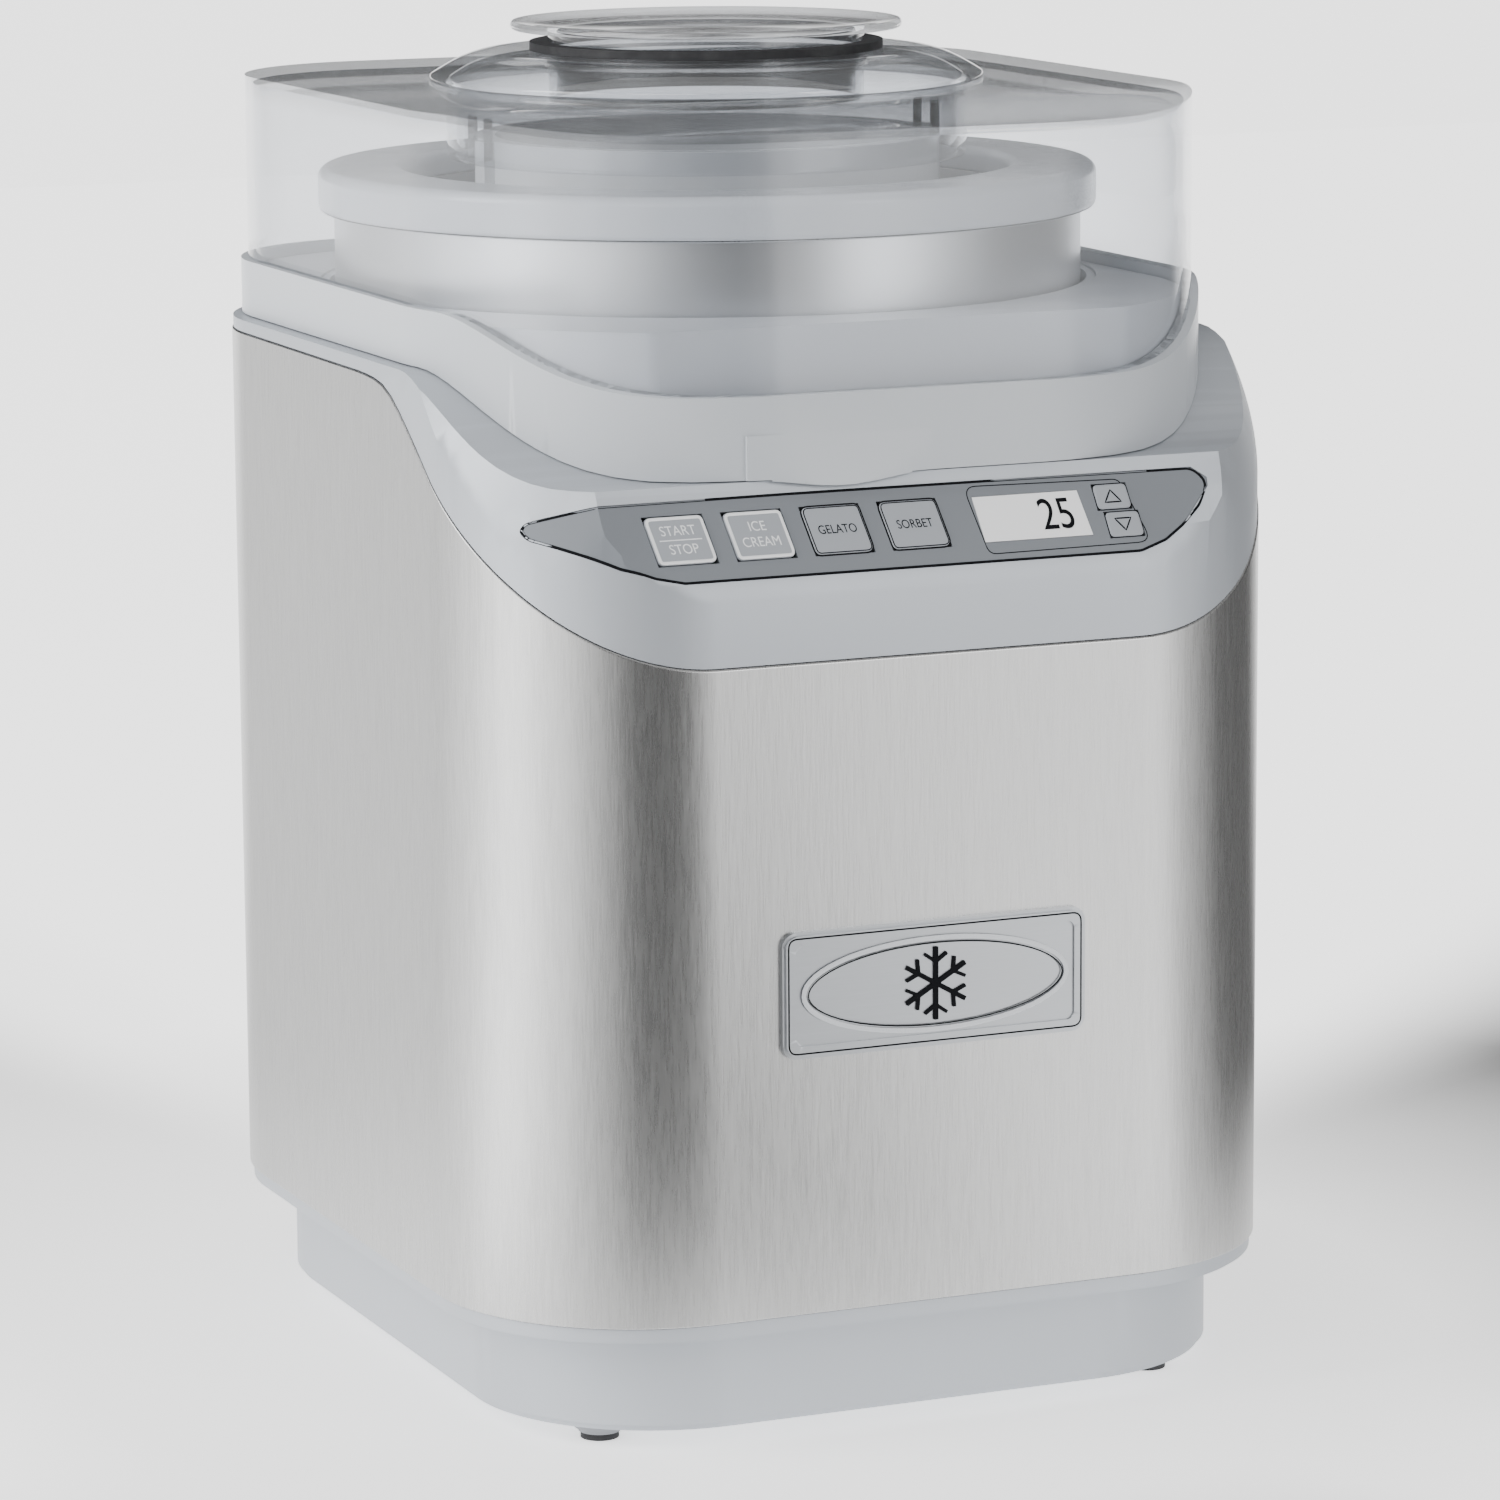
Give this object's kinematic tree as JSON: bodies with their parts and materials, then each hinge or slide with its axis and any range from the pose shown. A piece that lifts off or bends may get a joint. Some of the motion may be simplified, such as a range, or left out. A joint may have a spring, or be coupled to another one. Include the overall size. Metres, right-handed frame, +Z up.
{
  "type": "ice cream maker",
  "caption": "Counter-top ice cream maker: steel wrapped body, slanted key panel, geared drive, chilled bowl, paddle, clear lid and lift-off pouring cap.",
  "frame": {"origin": "centre of the footprint at the underside of the feet", "axes": "+Z up, the key panel faces -Y, +X to the right of someone facing the panel"},
  "size_m": [0.205, 0.2306, 0.318],
  "materials": {
    "body_plastic": "satin moulded, light blue-grey",
    "deck_plastic": "satin moulded, light grey",
    "foot_plastic": "satin grey",
    "rubber": "matt black",
    "screw_steel": "plated",
    "steel": "brushed up and down",
    "panel_plastic": "satin grey key panel",
    "key_plastic": "satin grey key",
    "window": "clear gloss window",
    "display": "pale display with a frame",
    "board": "green lacquered board",
    "badge": "bright bevelled plate",
    "emblem": "dark raised mark",
    "gearbox_plastic": "glass-filled dark moulding",
    "pin_steel": "ground steel",
    "bush_bronze": "sintered bush",
    "motor_steel": "zinc plated can",
    "rotor_copper": "laminated stack with winding",
    "pinion_brass": "machined",
    "gear_nylon": "natural nylon",
    "bowl_alu": "spun, satin",
    "bowl_rim": "white-grey ring",
    "coolant": "sealed freezing gel",
    "paddle_plastic": "translucent white",
    "lid_clear": "clear moulded",
    "band_plastic": "frosted grey"
  },
  "bodies": {
    "machine": {"base_tray": "body_plastic", "feet": "foot_plastic", "foot_pads": "rubber", "base_screws": "screw_steel", "steel_wrap": "steel", "rear_panel": "deck_plastic", "cord_gland": "rubber", "upper_housing": "body_plastic", "bowl_platform": "deck_plastic", "bowl_well": "deck_plastic", "well_base": "deck_plastic", "well_seal": "rubber", "control_panel": "panel_plastic", "lcd_lens": "window", "lcd_module": "display", "key_board": "board", "power_board": "board", "badge_plate": "badge", "badge_emblem": "emblem", "gearbox_base": "gearbox_plastic", "gearbox_cover": "gearbox_plastic", "gearbox_screws": "screw_steel", "idler_pin": "pin_steel", "spindle_bush": "bush_bronze", "motor_can": "motor_steel", "motor_end_cap": "gearbox_plastic"},
    "rotor": {"motor_rotor": "rotor_copper", "motor_pinion": "pinion_brass"},
    "idler": {"idler_gear": "gear_nylon"},
    "spindle": {"output_gear": "gear_nylon", "drive_spindle": "pin_steel"},
    "bowl": {"bowl_shell": "bowl_alu", "bowl_liner": "bowl_alu", "bowl_floor": "bowl_alu", "bowl_rim": "bowl_rim", "bowl_coolant": "coolant", "bowl_coupler": "gearbox_plastic"},
    "paddle_body": {"paddle": "paddle_plastic"},
    "lid": {"lid_cover": "lid_clear", "lid_band": "band_plastic", "lid_collar": "lid_clear"},
    "cap": {"spout_cap": "lid_clear", "cap_seal": "rubber"},
    "key_start_body": {"key_start": "key_plastic"},
    "key_ice_cream_body": {"key_ice_cream": "key_plastic"},
    "key_gelato_body": {"key_gelato": "key_plastic"},
    "key_sorbet_body": {"key_sorbet": "key_plastic"},
    "key_up_body": {"key_up": "key_plastic"},
    "key_down_body": {"key_down": "key_plastic"}
  },
  "joints": [
    {"name": "spindle_spin", "type": "hinge", "parent": "machine", "child": "spindle", "pos_m": [0, 0.0155, 0], "axis": [0, 0, 1], "continuous": true},
    {"name": "idler_spin", "type": "hinge", "parent": "machine", "child": "idler", "pos_m": [0, -0.0195, 0], "axis": [0, 0, 1], "continuous": true},
    {"name": "rotor_spin", "type": "hinge", "parent": "machine", "child": "rotor", "pos_m": [0.02475, 0.00525, 0], "axis": [0, 0, 1], "continuous": true},
    {"name": "lid_lift", "type": "slide", "parent": "machine", "child": "lid", "axis": [0, 0, 1], "range_m": [0, 0.3]},
    {"name": "paddle_lift", "type": "slide", "parent": "machine", "child": "paddle_body", "axis": [0, 0, 1], "range_m": [0, 0.258]},
    {"name": "bowl_lift", "type": "slide", "parent": "spindle", "child": "bowl", "axis": [0, 0, 1], "range_m": [0, 0.183]},
    {"name": "cap_lift", "type": "slide", "parent": "lid", "child": "cap", "axis": [0, 0, 1], "range_m": [0, 0.08]},
    {"name": "key_start_press", "type": "slide", "parent": "machine", "child": "key_start_body", "axis": [0, 0.931, -0.3651], "range_m": [0, 0.0006], "stiffness_N_per_m": 800, "springref_m": -0.0008},
    {"name": "key_ice_cream_press", "type": "slide", "parent": "machine", "child": "key_ice_cream_body", "axis": [0, 0.931, -0.3651], "range_m": [0, 0.0006], "stiffness_N_per_m": 800, "springref_m": -0.0008},
    {"name": "key_gelato_press", "type": "slide", "parent": "machine", "child": "key_gelato_body", "axis": [0, 0.931, -0.3651], "range_m": [0, 0.0006], "stiffness_N_per_m": 800, "springref_m": -0.0008},
    {"name": "key_sorbet_press", "type": "slide", "parent": "machine", "child": "key_sorbet_body", "axis": [0, 0.931, -0.3651], "range_m": [0, 0.0006], "stiffness_N_per_m": 800, "springref_m": -0.0008},
    {"name": "key_up_press", "type": "slide", "parent": "machine", "child": "key_up_body", "axis": [0, 0.931, -0.3651], "range_m": [0, 0.0006], "stiffness_N_per_m": 800, "springref_m": -0.0008},
    {"name": "key_down_press", "type": "slide", "parent": "machine", "child": "key_down_body", "axis": [0, 0.931, -0.3651], "range_m": [0, 0.0006], "stiffness_N_per_m": 800, "springref_m": -0.0008}
  ],
  "couplings": [
    {"joint": "idler_spin", "follows": "spindle_spin", "ratio": -4},
    {"joint": "rotor_spin", "follows": "spindle_spin", "ratio": 16},
    {"joint": "paddle_lift", "follows": "lid_lift", "ratio": 0.85},
    {"joint": "bowl_lift", "follows": "lid_lift", "ratio": 0.6}
  ]
}
